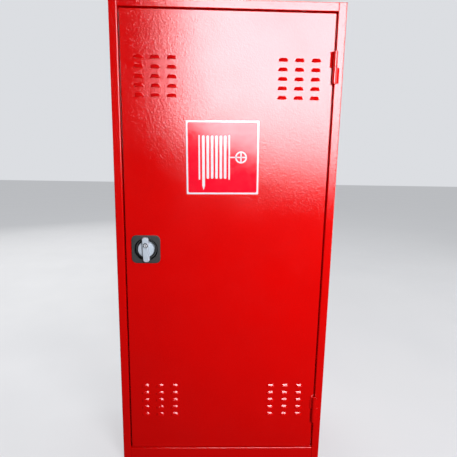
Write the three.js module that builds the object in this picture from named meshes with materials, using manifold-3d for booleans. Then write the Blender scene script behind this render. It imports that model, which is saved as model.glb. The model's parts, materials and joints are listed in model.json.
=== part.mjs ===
// A surface-mounted standpipe (fire hose) cabinet in folded sheet steel, in millimetres.
// +Z is up and the door faces -Y. The origin is the centre of the cabinet's base, at the level it stands on.
// Inside are a shelf, a swing-out hose cradle and an angle valve with a rising stem. Left and right are as seen
// by someone who faces the door.
import * as THREE from "three";
import { mergeVertices } from "three/addons/utils/BufferGeometryUtils.js";
import Module from "manifold-3d";

const wasm = await Module();
wasm.setup();

// ---------------------------------------------------------------- driving dimensions

// Cabinet
const WIDTH = 540;
const DEPTH = 230;
const HEIGHT = 1178;
const SHEET = 1.2; // thickness of the sheet steel
const SEAM = 0.3; // clearance between pieces that are welded or clamped together
const STILE = 20; // width of the frame's face at each side of the door
const TOP_RAIL = 20;
const BOTTOM_RAIL = 38;
const REBATE = 20; // how far back the frame's edge runs to the door stops
const STOP_IN = 12; // how far a door stop stands into the opening
const STOP_OUT = 8; // and how far behind the frame
const WALL_HOLE_R = 5;
const WALL_HOLE_X = 200;
const WALL_HOLE_INSET = 100; // from the top and bottom edges

// Door
const DOOR_GAP = 4;
const DOOR_DEPTH = 18;
const DOOR_RETURN = 12; // width of the folded edge's inner return
const STIFFENER_WIDTH = 40;
const STIFFENER_THICK = 4;
const STIFFENER_END = 60; // from the stiffener's end to the door's end

// Louvres, in a group of columns and rows at each corner of the door
const LOUVRE_COLUMNS = 3;
const LOUVRE_ROWS = 5;
const LOUVRE_PITCH_X = 38.3;
const LOUVRE_PITCH_Z = 21;
const LOUVRE_INSET_X = 40.7; // door's side edge to the centre of the outer column
const LOUVRE_INSET_Z = 101.5; // door's end to the middle of the outer row
const LOUVRE_WIDTH = 22;
const LOUVRE_HEIGHT = 8;
const LOUVRE_RISE = 3.6;

// Hinges
const HINGE_LENGTH = 70;
const HINGE_INSET = 84; // gap's middle at the door's end to the near end of the hinge
const BARREL_R = 5.5;
const PIN_R = 3;
const LEAF_THICK = 2.5;
const DOOR_LEAF = 10.5; // how far each leaf reaches from the hinge axis
const FRAME_LEAF = 12;

// Sign plate
const SIGN_SIDE = 174;
const SIGN_THICK = 0.8;
const SIGN_X = -8.7;
const SIGN_ABOVE_GAP = 786.6; // middle of the sign above the middle of the gap under the door

// Lock
const LOCK_FROM_GAP = 52; // lock axis to the middle of the gap at the door's left
const LOCK_ABOVE_GAP = 560;
const PLATE_SIDE = 71;
const PLATE_CORNER_R = 14;
const PLATE_THICK = 3.2;
const CUP_R = 28.5; // inside radius of the finger recess
const CUP_WALL = 1.7;
const CUP_DEPTH = 13; // from the plate's front to the recess floor
const HANDLE_DISC_R = 20;
const HANDLE_LENGTH = 63;
const HANDLE_WIDTH = 17;
const HANDLE_HEIGHT = 7.8; // thickness of the grip bar
const SPINDLE_R = 5;
const CAM_LENGTH = 56;
const CAM_THICK = 2.5;
const CYLINDER_R = 5.8;
const CYLINDER_UP = 11; // lock cylinder above the handle's axis

// Shelf
const SHELF_TOP = 580;
const SHELF_FRONT = -78;
const SHELF_APRON = 20;

// Hose cradle, which swings out about a rod near the right wall
const PIVOT = [228, -62];
const CRADLE_LEFT = -125;
const CRADLE_RIGHT = 218;
const CRADLE_FRONT = -56;
const CRADLE_BACK = 42;
const CRADLE_BOTTOM = 618;
const CRADLE_TOP = 945;
const CRADLE_SHEET = 1.5;
const ROD_R = 4;
const SLEEVE_R = 7;
const SLEEVE_LENGTH = 44;

// Valve: the inlet runs in from the left wall along X, the outlet points down
const VALVE = [-178, 35, 1070];
const PIPE_R = 30;
const PIPE_BORE_R = 26;
const PIPE_STUB = 27; // how far the inlet stands out of the left wall
const PORT_R = 32;
const GLOBE_R = 40;
const CHAMBER_R = 33;
const SEAT_X = -22; // seat face, from the valve's centre
const SEAT_BORE_R = 20;
const STEM_R = 7;
const WHEEL_R = 48;
const WHEEL_RIM_R = 6.5;
const WHEEL_X = 112; // handwheel's middle, from the valve's centre
const SPOKES = 4;

const ROUND = 24; // segments of a full circle
const FINE_CLEARANCE = 0.1; // between a pin and its bore

// ---------------------------------------------------------------- derived places

const FRONT = -DEPTH / 2;
const BACK = DEPTH / 2;
const SIDE = WIDTH / 2;
const OPENING_X = SIDE - STILE;
const OPENING_BOTTOM = BOTTOM_RAIL;
const OPENING_TOP = HEIGHT - TOP_RAIL;
const REBATE_Y = FRONT + REBATE;
const STOP_Y = REBATE_Y + SEAM; // front faces of the door stops
const WRAP_BACK = BACK - SHEET - SEAM; // where the side, top and bottom sheets end
const DOOR_X = OPENING_X - DOOR_GAP;
const DOOR_BOTTOM = OPENING_BOTTOM + DOOR_GAP;
const DOOR_TOP = OPENING_TOP - DOOR_GAP;
const GAP_BOTTOM = OPENING_BOTTOM + DOOR_GAP / 2;
const GAP_TOP = OPENING_TOP - DOOR_GAP / 2;
const SKIN_BACK = FRONT + SHEET;
const HINGE_X = OPENING_X - DOOR_GAP / 2;
const HINGE_Y = FRONT - BARREL_R - 0.4;
const LOCK_X = -OPENING_X + DOOR_GAP / 2 + LOCK_FROM_GAP;
const LOCK_Z = GAP_BOTTOM + LOCK_ABOVE_GAP;
const PLATE_FRONT = FRONT - SEAM - PLATE_THICK;
const CUP_FLOOR = PLATE_FRONT + CUP_DEPTH;

// ---------------------------------------------------------------- materials

const paint = (color, roughness, metalness = 0) =>
  new THREE.MeshStandardMaterial({ color, roughness, metalness });

const redCoat = paint(0xd01208, 0.38);
const wheelRed = paint(0xa81008, 0.45);
const blackPlastic = paint(0x23262a, 0.5);
const greyPlastic = paint(0xc3cad2, 0.35);
const signFilm = paint(0xe01024, 0.3);
const zincSteel = paint(0xb4b6b8, 0.35, 1);
const brass = paint(0xb08a45, 0.4, 1);
const aluminium = paint(0xb9bcc0, 0.45, 1);
const rubber = paint(0x1c1c1c, 0.8);

// ---------------------------------------------------------------- solids from three.js geometry

function solidOf(geometry) {
  const bare = geometry.clone();
  bare.deleteAttribute("normal");
  bare.deleteAttribute("uv");
  const merged = mergeVertices(bare, 1e-4);
  return new wasm.Manifold(
    new wasm.Mesh({
      numProp: 3,
      vertProperties: new Float32Array(merged.attributes.position.array),
      triVerts: new Uint32Array(merged.index.array),
    }),
  );
}

function geometryOf(solid) {
  const { vertProperties, triVerts, numProp } = solid.getMesh();
  const positions = new Float32Array((vertProperties.length / numProp) * 3);
  for (let v = 0; v < positions.length / 3; v++)
    positions.set(vertProperties.subarray(v * numProp, v * numProp + 3), v * 3);
  const geometry = new THREE.BufferGeometry();
  geometry.setAttribute("position", new THREE.BufferAttribute(positions, 3));
  geometry.setIndex(new THREE.BufferAttribute(new Uint32Array(triVerts), 1));
  geometry.computeVertexNormals();
  return geometry;
}

// A box between two corners.
function block([x0, y0, z0], [x1, y1, z1]) {
  const geometry = new THREE.BoxGeometry(x1 - x0, y1 - y0, z1 - z0);
  return solidOf(geometry.translate((x0 + x1) / 2, (y0 + y1) / 2, (z0 + z1) / 2));
}

// Turns a shape made about the Y axis so that its axis lies along X, Y or Z.
function alignAxis(geometry, axis) {
  if (axis === "x") geometry.rotateZ(-Math.PI / 2);
  if (axis === "z") geometry.rotateX(Math.PI / 2);
  return geometry;
}

// A cylinder along an axis, from one coordinate to the other, through the point centre.
function rod(axis, radius, from, to, centre, segments = ROUND) {
  const geometry = new THREE.CylinderGeometry(radius, radius, to - from, segments);
  const middle = { ...centre, [axis]: (from + to) / 2 };
  return solidOf(alignAxis(geometry, axis).translate(middle.x, middle.y, middle.z));
}

const hexNut = (axis, acrossFlats, from, to, centre) =>
  rod(axis, acrossFlats / Math.sqrt(3), from, to, centre, 6);

// A turned solid about the X axis; the profile is [radius, x] pairs that start and end on the axis.
function turnedX(profile, centre, segments = ROUND) {
  const points = profile.map(([radius, x]) => new THREE.Vector2(radius, x));
  const geometry = new THREE.LatheGeometry(points, segments).rotateZ(-Math.PI / 2);
  return solidOf(geometry.translate(centre.x, centre.y, centre.z));
}

// A shape drawn on the plane of u and v, extruded by depth along u x v from the point at.
function extruded(shape, depth, u, v, at, curveSegments = 6) {
  const geometry = new THREE.ExtrudeGeometry(shape, { depth, bevelEnabled: false, curveSegments });
  const w = new THREE.Vector3().crossVectors(u, v);
  geometry.applyMatrix4(new THREE.Matrix4().makeBasis(u, v, w).setPosition(...at));
  return solidOf(geometry);
}

const X = new THREE.Vector3(1, 0, 0);
const Y = new THREE.Vector3(0, 1, 0);
const Z = new THREE.Vector3(0, 0, 1);

// The cross-section of a sheet folded square along a path, which is the sheet's outer face. The material lies
// to the right of the path.
function foldedSheet(path, thickness = SHEET) {
  const points = path.map(([x, y]) => new THREE.Vector2(x, y));
  const rightOf = (a, b) => new THREE.Vector2(b.y - a.y, a.x - b.x).normalize();
  const inner = points.map((point, i) => {
    const before = i > 0 ? rightOf(points[i - 1], point) : null;
    const after = i < points.length - 1 ? rightOf(point, points[i + 1]) : null;
    const shift = new THREE.Vector2();
    if (before) shift.add(before);
    if (after) shift.add(after);
    return point.clone().addScaledVector(shift, thickness);
  });
  return new THREE.Shape([...points, ...inner.reverse()]);
}

function roundedRectangle(width, height, radius) {
  const shape = new THREE.Shape();
  const [w, h] = [width / 2, height / 2];
  shape.moveTo(-w + radius, -h);
  shape.absarc(w - radius, -h + radius, radius, -Math.PI / 2, 0);
  shape.absarc(w - radius, h - radius, radius, 0, Math.PI / 2);
  shape.absarc(-w + radius, h - radius, radius, Math.PI / 2, Math.PI);
  shape.absarc(-w + radius, -h + radius, radius, Math.PI, 1.5 * Math.PI);
  return shape;
}

const group = new THREE.Group();

function add(name, solid, material) {
  const mesh = new THREE.Mesh(geometryOf(solid), material);
  mesh.name = name;
  group.add(mesh);
}

// ---------------------------------------------------------------- cabinet shell

// A ring-shaped cut that leaves a round blank held by three bridges.
function knockout(axis, from, to, centre) {
  const ring = rod(axis, PORT_R, from, to, centre).subtract(rod(axis, PORT_R - 1.2, from, to, centre));
  const bridge = block([-PORT_R - 2, -3, -20], [-PORT_R / 2, 3, 20]);
  const turn = axis === "x" ? [0, 90, 0] : [0, 0, 0];
  const bridges = [0, 120, 240].map((angle) =>
    bridge.rotate([0, 0, angle]).rotate(turn).translate([centre.x, centre.y, centre.z]),
  );
  return bridges.reduce((cut, piece) => cut.subtract(piece), ring);
}

function sidePanels() {
  const port = { y: VALVE[1], z: VALVE[2] };
  const outline = foldedSheet([
    [SIDE, WRAP_BACK],
    [SIDE, FRONT],
    [OPENING_X, FRONT],
    [OPENING_X, REBATE_Y],
  ]);
  const low = SHEET + SEAM;
  const panel = extruded(outline, HEIGHT - 2 * low, X, Y, [0, 0, low]);
  const blank = knockout("x", SIDE - 5, SIDE + 5, { x: SIDE, ...port });
  add("right_side_panel", panel.subtract(blank), redCoat);
  const hole = rod("x", PORT_R, -SIDE - 5, -SIDE + 5, port);
  add("left_side_panel", panel.mirror([1, 0, 0]).subtract(hole), redCoat);
}

// The top or bottom sheet with its rail: level is the outer face, rail the rail's inner edge, inward +1 or -1.
function endPanel(level, rail, inward) {
  const path = [
    [WRAP_BACK, level],
    [FRONT, level],
    [FRONT, rail],
    [REBATE_Y, rail],
  ];
  const outline = inward > 0 ? foldedSheet(path) : foldedSheet(path.reverse());
  const panel = extruded(outline, WIDTH, Y, Z, [-SIDE, 0, 0]);
  const inner = level + inward * SHEET;
  const past = rail + inward;
  const [z0, z1] = [Math.min(inner, past), Math.max(inner, past)];
  const end = block([OPENING_X - SEAM, FRONT - 1, z0], [SIDE + 1, REBATE_Y + 1, z1]);
  return panel.subtract(end).subtract(end.mirror([1, 0, 0]));
}

function endPanels() {
  const blank = knockout("z", HEIGHT - 5, HEIGHT + 5, { x: VALVE[0], y: VALVE[1], z: HEIGHT });
  add("top_panel", endPanel(HEIGHT, OPENING_TOP, -1).subtract(blank), redCoat);
  add("bottom_panel", endPanel(0, OPENING_BOTTOM, 1), redCoat);
}

function backPanel() {
  let panel = block([-SIDE, BACK - SHEET, 0], [SIDE, BACK, HEIGHT]);
  for (const x of [-WALL_HOLE_X, WALL_HOLE_X])
    for (const z of [WALL_HOLE_INSET, HEIGHT - WALL_HOLE_INSET])
      panel = panel.subtract(rod("y", WALL_HOLE_R, BACK - 5, BACK + 5, { x, z }, 16));
  add("back_panel", panel, redCoat);
}

// Flat strips welded across the back of the rebate, which the door closes against.
function doorStops() {
  const y = [STOP_Y, STOP_Y + SHEET];
  const inner = OPENING_X - STOP_IN;
  const [low, high] = [OPENING_BOTTOM - STOP_OUT, OPENING_TOP + STOP_OUT];
  const upright = block([inner, y[0], low], [OPENING_X + STOP_OUT, y[1], high]);
  add("right_door_stop", upright, redCoat);
  add("left_door_stop", upright.mirror([1, 0, 0]), redCoat);
  const across = inner - SEAM;
  add("bottom_door_stop", block([-across, y[0], low], [across, y[1], OPENING_BOTTOM + STOP_IN]), redCoat);
  add("top_door_stop", block([-across, y[0], OPENING_TOP - STOP_IN], [across, y[1], high]), redCoat);
}

// ---------------------------------------------------------------- shelf

function shelf() {
  const half = SIDE - SHEET - SEAM;
  const outline = foldedSheet([
    [SHELF_FRONT, SHELF_TOP - SHELF_APRON],
    [SHELF_FRONT, SHELF_TOP],
    [WRAP_BACK - 0.5, SHELF_TOP],
  ]);
  add("shelf", extruded(outline, 2 * half, Y, Z, [-half, 0, 0]), redCoat);
  const leg = 20;
  const under = SHELF_TOP - SHEET - SEAM;
  const angle = foldedSheet([
    [half, under - leg],
    [half, under],
    [half - leg, under],
  ].reverse(), 1.5);
  const bracket = extruded(angle, 175, X.clone().negate(), Z, [0, -70, 0]);
  add("left_shelf_bracket", bracket, redCoat);
  add("right_shelf_bracket", bracket.mirror([1, 0, 0]), redCoat);
}

// ---------------------------------------------------------------- door

// One pressed louvre hood, open at its lower edge. grow is how far its faces stand outwards.
function louvreHood(grow) {
  const half = LOUVRE_WIDTH / 2 + grow;
  const shoulder = LOUVRE_WIDTH * 0.32 + grow;
  const crown = LOUVRE_WIDTH * 0.38 + grow;
  const top = LOUVRE_HEIGHT + grow;
  const root = grow < 0 ? SHEET + 1 : 0.2;
  const rise = -(LOUVRE_RISE + grow);
  return wasm.Manifold.hull([
    [-half, root, 0],
    [half, root, 0],
    [shoulder, root, top],
    [-shoulder, root, top],
    [-crown, rise, 0],
    [crown, rise, 0],
  ]);
}

function louvreCentres() {
  const centres = [];
  for (const side of [-1, 1])
    for (const end of [-1, 1])
      for (let column = 0; column < LOUVRE_COLUMNS; column++)
        for (let row = 0; row < LOUVRE_ROWS; row++) {
          const x = side * (DOOR_X - LOUVRE_INSET_X - column * LOUVRE_PITCH_X);
          const inset = LOUVRE_INSET_Z + row * LOUVRE_PITCH_Z;
          centres.push([x, end < 0 ? DOOR_BOTTOM + inset : DOOR_TOP - inset]);
        }
  return centres;
}

function doorPanel() {
  const back = FRONT + DOOR_DEPTH;
  const inset = DOOR_RETURN;
  let pan = block([-DOOR_X, FRONT, DOOR_BOTTOM], [DOOR_X, back, DOOR_TOP])
    .subtract(
      block(
        [-DOOR_X + SHEET, SKIN_BACK, DOOR_BOTTOM + SHEET],
        [DOOR_X - SHEET, back - SHEET, DOOR_TOP - SHEET],
      ),
    )
    .subtract(
      block(
        [-DOOR_X + inset, back - SHEET - 1, DOOR_BOTTOM + inset],
        [DOOR_X - inset, back + 1, DOOR_TOP - inset],
      ),
    );
  const outer = louvreHood(0);
  const inner = louvreHood(-SHEET * 0.75).translate([0, 0, -0.01]);
  const slot = block([-LOUVRE_WIDTH / 2 - 2, -LOUVRE_RISE - 2, -2], [LOUVRE_WIDTH / 2 + 2, -0.01, 0]);
  const hoods = [];
  const cuts = [];
  for (const [x, z] of louvreCentres()) {
    const at = [x, FRONT, z - LOUVRE_HEIGHT / 2];
    hoods.push(outer.subtract(slot).translate(at));
    cuts.push(inner.translate(at));
  }
  pan = wasm.Manifold.union([pan, ...hoods]).subtract(wasm.Manifold.union(cuts));
  const lockHole = rod("y", CUP_R + CUP_WALL + 0.6, FRONT - 5, SKIN_BACK + 5, { x: LOCK_X, z: LOCK_Z });
  add("door_panel", pan.subtract(lockHole), redCoat);
}

function doorStiffener() {
  const y = SKIN_BACK + SEAM;
  const half = STIFFENER_WIDTH / 2;
  const bar = block(
    [-half, y, DOOR_BOTTOM + STIFFENER_END],
    [half, y + STIFFENER_THICK, DOOR_TOP - STIFFENER_END],
  );
  add("door_stiffener", bar, redCoat);
}

function signPlate() {
  const plate = extruded(
    roundedRectangle(SIGN_SIDE, SIGN_SIDE, 2),
    SIGN_THICK, X, Z, [SIGN_X, FRONT - SEAM, GAP_BOTTOM + SIGN_ABOVE_GAP], 3,
  );
  add("sign_plate", plate, signFilm);
}

// ---------------------------------------------------------------- hinges

// A lift-off hinge: the lower knuckle and its pin stay on the frame, the upper knuckle lifts off with the door.
function hinge(name, bottom) {
  const axis = { x: HINGE_X, y: HINGE_Y };
  const middle = bottom + HINGE_LENGTH / 2;
  const top = bottom + HINGE_LENGTH;
  const face = FRONT - 0.3;
  const bore = PIN_R + FINE_CLEARANCE;
  const reach = middle + 24;
  const frameLeaf = block([HINGE_X, face - LEAF_THICK, bottom], [HINGE_X + FRAME_LEAF, face, middle - 0.5]);
  const frameKnuckle = rod("z", BARREL_R, bottom, middle - 0.5, axis)
    .add(frameLeaf)
    .subtract(rod("z", bore, bottom - 1, middle, axis));
  const doorLeaf = block([HINGE_X - DOOR_LEAF, face - LEAF_THICK, middle], [HINGE_X, face, top]);
  const doorKnuckle = rod("z", BARREL_R, middle, top, axis)
    .add(doorLeaf)
    .subtract(rod("z", bore, middle - 1, reach + 0.5, axis));
  const pin = rod("z", PIN_R, bottom - 1, reach, axis)
    .add(rod("z", PIN_R + 1.6, bottom - 2.4, bottom - 0.4, axis));
  add(name + "_hinge_frame_knuckle", frameKnuckle, redCoat);
  add(name + "_hinge_door_knuckle", doorKnuckle, redCoat);
  add(name + "_hinge_pin", pin, redCoat);
}

// ---------------------------------------------------------------- lock

const lockAxis = { x: LOCK_X, z: LOCK_Z };

function lockBody() {
  const plate = extruded(
    roundedRectangle(PLATE_SIDE, PLATE_SIDE, PLATE_CORNER_R),
    PLATE_THICK, X, Z, [LOCK_X, PLATE_FRONT + PLATE_THICK, LOCK_Z], 5,
  );
  const cupBack = CUP_FLOOR + 2;
  const bossEnd = cupBack + 5.5;
  const escutcheon = plate
    .add(rod("y", CUP_R + CUP_WALL, PLATE_FRONT + 1, cupBack, lockAxis))
    .add(rod("y", SPINDLE_R + 4, cupBack - 1, bossEnd, lockAxis))
    .subtract(rod("y", CUP_R, PLATE_FRONT - 1, CUP_FLOOR, lockAxis))
    .subtract(rod("y", SPINDLE_R + FINE_CLEARANCE, CUP_FLOOR - 1, bossEnd + 1, lockAxis));
  add("lock_escutcheon", escutcheon, blackPlastic);

  const nut = rod("y", CUP_R + CUP_WALL + 7, SKIN_BACK + SEAM, SKIN_BACK + 5.3, lockAxis, 12)
    .subtract(rod("y", CUP_R + CUP_WALL + 0.3, SKIN_BACK - 1, SKIN_BACK + 7, lockAxis));
  add("lock_retaining_nut", nut, blackPlastic);
  return bossEnd;
}

// The quarter-turn handle, its spindle and the cam behind the left door stop. The handle stands upright when
// the door is unlatched, and the cam then hangs down.
function latch(bossEnd) {
  const barBack = PLATE_FRONT - 0.7;
  const barFront = barBack - HANDLE_HEIGHT;
  const socketEnd = CUP_FLOOR - 6.5;
  const cylinder = { x: LOCK_X, z: LOCK_Z + CYLINDER_UP };
  const cylinderBack = socketEnd - 1;
  const bar = extruded(
    roundedRectangle(HANDLE_WIDTH, HANDLE_LENGTH, HANDLE_WIDTH / 2 - 0.5),
    HANDLE_HEIGHT, X, Z, [LOCK_X, barBack, LOCK_Z], 5,
  );
  const handle = bar
    .add(rod("y", HANDLE_DISC_R, barBack - 2, CUP_FLOOR - 0.5, lockAxis))
    .subtract(rod("y", SPINDLE_R + FINE_CLEARANCE, socketEnd, CUP_FLOOR, lockAxis))
    .subtract(rod("y", CYLINDER_R + 0.2, barFront - 1, cylinderBack + 0.1, cylinder));
  add("latch_handle", handle, greyPlastic);

  const keySlot = block([LOCK_X - 0.8, barFront - 1, cylinder.z - 3.5], [LOCK_X + 0.8, barFront + 8, cylinder.z + 3.5]);
  const plug = rod("y", CYLINDER_R, barFront - 0.3, cylinderBack, cylinder).subtract(keySlot);
  add("lock_cylinder", plug, zincSteel);

  const camFront = STOP_Y + SHEET + 1;
  const camBack = camFront + CAM_THICK;
  const spindleEnd = camBack - 0.1;
  const screwHole = { r: 2.6, from: spindleEnd - 10 };
  const spindle = rod("y", SPINDLE_R, socketEnd + 0.2, spindleEnd, lockAxis)
    .add(rod("y", SPINDLE_R + 3, bossEnd + 0.3, camFront - 0.3, lockAxis))
    .subtract(rod("y", screwHole.r, screwHole.from, spindleEnd + 1, lockAxis, 16));
  add("latch_spindle", spindle, zincSteel);

  const outline = new THREE.Shape();
  outline.absarc(0, 0, 11, 0.25, Math.PI - 0.25);
  outline.absarc(0, -(CAM_LENGTH - 8), 8, Math.PI, 2 * Math.PI);
  const cam = extruded(outline, CAM_THICK, X, Z, [LOCK_X, camBack, LOCK_Z])
    .subtract(rod("y", SPINDLE_R + FINE_CLEARANCE, camFront - 1, camBack + 1, lockAxis));
  add("latch_cam", cam, zincSteel);

  const head = camBack + SEAM;
  const screw = rod("y", 8, head, head + 1.2, lockAxis, 24)
    .add(hexNut("y", 10, head + 1, head + 5, lockAxis))
    .add(rod("y", screwHole.r - 0.1, screwHole.from + 1, head + 1, lockAxis, 16));
  add("latch_cam_screw", screw, zincSteel);
}

// ---------------------------------------------------------------- hose cradle

const pivotAxis = { x: PIVOT[0], y: PIVOT[1] };

function cradleBackPlate() {
  const [w, h] = [CRADLE_RIGHT - CRADLE_LEFT, CRADLE_TOP - CRADLE_BOTTOM];
  const corner = 60;
  const outline = new THREE.Shape();
  outline.moveTo(0, 0);
  outline.lineTo(w, 0);
  outline.lineTo(w, h);
  outline.absarc(corner, h - corner, corner, Math.PI / 2, Math.PI);
  const centre = [w / 2 - 5, h / 2 + 5];
  const window = new THREE.Path();
  window.absarc(...centre, 45, 0, 2 * Math.PI, true);
  outline.holes.push(window);
  for (let i = 0; i < 4; i++) {
    const turn = Math.PI / 4 + (i * Math.PI) / 2;
    const along = new THREE.Vector2(Math.cos(turn), Math.sin(turn));
    const slot = new THREE.Path();
    const [near, far] = [72, 118].map((d) => [centre[0] + along.x * d, centre[1] + along.y * d]);
    slot.absarc(...far, 12, turn + Math.PI / 2, turn - Math.PI / 2, true);
    slot.absarc(...near, 12, turn - Math.PI / 2, turn - 1.5 * Math.PI, true);
    outline.holes.push(slot);
  }
  const plate = extruded(outline, CRADLE_SHEET, X, Z, [CRADLE_LEFT, CRADLE_BACK, CRADLE_BOTTOM], 10);
  add("cradle_back_plate", plate, redCoat);
}

function cradleTray() {
  const outline = foldedSheet([
    [CRADLE_BACK - CRADLE_SHEET - SEAM, CRADLE_BOTTOM],
    [CRADLE_FRONT, CRADLE_BOTTOM],
    [CRADLE_FRONT, CRADLE_BOTTOM + 55],
  ], CRADLE_SHEET);
  const tray = extruded(outline, CRADLE_RIGHT - CRADLE_LEFT, Y, Z, [CRADLE_LEFT, 0, 0]);
  add("cradle_tray", tray, redCoat);
}

function cradleEnds() {
  const x0 = CRADLE_RIGHT + SEAM;
  const spine = block([x0, CRADLE_FRONT, CRADLE_BOTTOM], [x0 + CRADLE_SHEET, CRADLE_BACK, CRADLE_TOP]);
  add("cradle_spine", spine, redCoat);
  const depth = CRADLE_BACK - CRADLE_FRONT;
  const tall = 130;
  const corner = 25;
  const outline = new THREE.Shape();
  outline.moveTo(0, 0);
  outline.lineTo(depth, 0);
  outline.absarc(depth - corner, tall - corner, corner, 0, Math.PI / 2);
  outline.absarc(corner, tall - corner, corner, Math.PI / 2, Math.PI);
  const at = [CRADLE_LEFT - SEAM - CRADLE_SHEET, CRADLE_FRONT, CRADLE_BOTTOM];
  add("cradle_left_cheek", extruded(outline, CRADLE_SHEET, Y, Z, at), redCoat);
}

// The bar that keeps the hose in: across the front from the spine, then down to the inside of the tray's lip.
function cradleFrontBar() {
  const radius = 4;
  const y = CRADLE_FRONT + CRADLE_SHEET + radius + SEAM;
  const level = CRADLE_BOTTOM + 215;
  const left = CRADLE_LEFT + 25;
  const bend = 40;
  const path = new THREE.CurvePath();
  const point = (x, z) => new THREE.Vector3(x, y, z);
  path.add(new THREE.LineCurve3(point(CRADLE_RIGHT - SEAM, level), point(left + bend, level)));
  path.add(
    new THREE.QuadraticBezierCurve3(point(left + bend, level), point(left, level), point(left, level - bend)),
  );
  path.add(new THREE.LineCurve3(point(left, level - bend), point(left, CRADLE_BOTTOM + 12)));
  const section = new THREE.Shape();
  section.absarc(0, 0, radius, 0, 2 * Math.PI);
  const geometry = new THREE.ExtrudeGeometry(section, { extrudePath: path, steps: 26, curveSegments: 5 });
  add("cradle_front_bar", solidOf(geometry), zincSteel);
}

function cradleSleeve(name, bottom) {
  const top = bottom + SLEEVE_LENGTH;
  const tabX = CRADLE_RIGHT + SEAM + CRADLE_SHEET + SEAM;
  const sleeve = rod("z", SLEEVE_R, bottom, top, pivotAxis)
    .add(block([tabX, PIVOT[1], bottom], [tabX + 3, PIVOT[1] + 40, top]))
    .subtract(rod("z", ROD_R + FINE_CLEARANCE, bottom - 1, top + 1, pivotAxis));
  add(name, sleeve, redCoat);
}

// A bracket on the right wall that holds one end of the pivot rod; its plate starts at level.
function pivotBracket(name, level, flangeFrom, flangeTo) {
  const wall = SIDE - SHEET - SEAM;
  const tongue = new THREE.Shape();
  tongue.absarc(PIVOT[0], PIVOT[1], 13, Math.PI / 2, 1.5 * Math.PI);
  tongue.lineTo(wall, PIVOT[1] - 13);
  tongue.lineTo(wall, PIVOT[1] + 13);
  const bracket = extruded(tongue, 3, X, Y, [0, 0, level])
    .add(block([wall - 3, PIVOT[1] - 20, flangeFrom], [wall, PIVOT[1] + 20, flangeTo]))
    .subtract(rod("z", ROD_R + FINE_CLEARANCE, level - 1, level + 4, pivotAxis));
  add(name, bracket, redCoat);
}

function cradlePivot() {
  const low = CRADLE_BOTTOM - 18;
  const high = CRADLE_TOP + 12;
  pivotBracket("cradle_bottom_bracket", low, low, low + 30);
  pivotBracket("cradle_top_bracket", high, high, high + 30);
  const pin = rod("z", ROD_R, low - 3, high + 8, pivotAxis)
    .add(rod("z", ROD_R + 3, low - 5, low - 0.4, pivotAxis));
  add("cradle_pivot_rod", pin, zincSteel);
}

// ---------------------------------------------------------------- valve

const valveCentre = { x: VALVE[0], y: VALVE[1], z: VALVE[2] };
const alongInlet = { y: VALVE[1], z: VALVE[2] };
const alongOutlet = { x: VALVE[0], y: VALVE[1] };
const fromValve = (dx) => VALVE[0] + dx;

function inlet() {
  const outer = -SIDE - PIPE_STUB;
  const end = fromValve(-43);
  const nipple = rod("x", PIPE_R, outer, end, alongInlet)
    .subtract(rod("x", PIPE_BORE_R, outer - 1, end + 1, alongInlet));
  add("inlet_nipple", nipple, zincSteel);
  const thick = 11;
  const nut = (from) =>
    hexNut("x", 80, from, from + thick, alongInlet)
      .subtract(rod("x", PIPE_R + SEAM, from - 1, from + thick + 1, alongInlet));
  add("outer_locknut", nut(-SIDE - SEAM - thick), zincSteel);
  add("inner_locknut", nut(-SIDE + SHEET + SEAM), zincSteel);
}

function valveBody() {
  const outletEnd = VALVE[2] - 64;
  const shell = turnedX(
    [
      [0, -58], [36, -58], [37, -56], [37, -43], [33.5, -37], [36, -26], [GLOBE_R, -9], [GLOBE_R, 6],
      [37, 18], [33, 28], [34, 32], [34, 39.7], [0, 39.7],
    ],
    valveCentre,
  )
    .add(rod("z", 32, VALVE[2] - 52, VALVE[2] - 5, alongOutlet))
    .add(rod("z", 28, outletEnd, VALVE[2] - 10, alongOutlet));
  const chamber = turnedX(
    [[0, SEAT_X], [CHAMBER_R - 3, SEAT_X], [CHAMBER_R, SEAT_X + 8], [CHAMBER_R, 10], [24, 22], [24, 45], [0, 45]],
    valveCentre,
  );
  const inletWay = turnedX(
    [[0, -60], [PIPE_R + 0.2, -60], [PIPE_R + 0.2, -42], [25, -42], [25, -34], [SEAT_BORE_R, -34],
      [SEAT_BORE_R, SEAT_X + 1], [0, SEAT_X + 1]],
    valveCentre,
  );
  const outletWay = rod("z", 24, outletEnd - 1, VALVE[2] - 15, alongOutlet);
  add("valve_body", shell.subtract(chamber).subtract(inletWay).subtract(outletWay), brass);
}

function valveBonnet() {
  const plugStart = 20;
  const bonnet = turnedX(
    [[0, plugStart], [23.7, plugStart], [23.7, 41], [24, 51], [21, 55], [15, 68], [11, 69], [11, 83], [0, 83]],
    valveCentre,
  )
    .add(hexNut("x", 62, fromValve(40), fromValve(52), alongInlet))
    .subtract(rod("x", STEM_R + FINE_CLEARANCE, fromValve(plugStart - 1), fromValve(84), alongInlet));
  add("valve_bonnet", bonnet, brass);
  const gland = hexNut("x", 30, fromValve(73), fromValve(90), alongInlet)
    .subtract(rod("x", 11.3, fromValve(72), fromValve(83.3), alongInlet))
    .subtract(rod("x", STEM_R + FINE_CLEARANCE, fromValve(80), fromValve(91), alongInlet));
  add("gland_nut", gland, brass);
}

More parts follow.
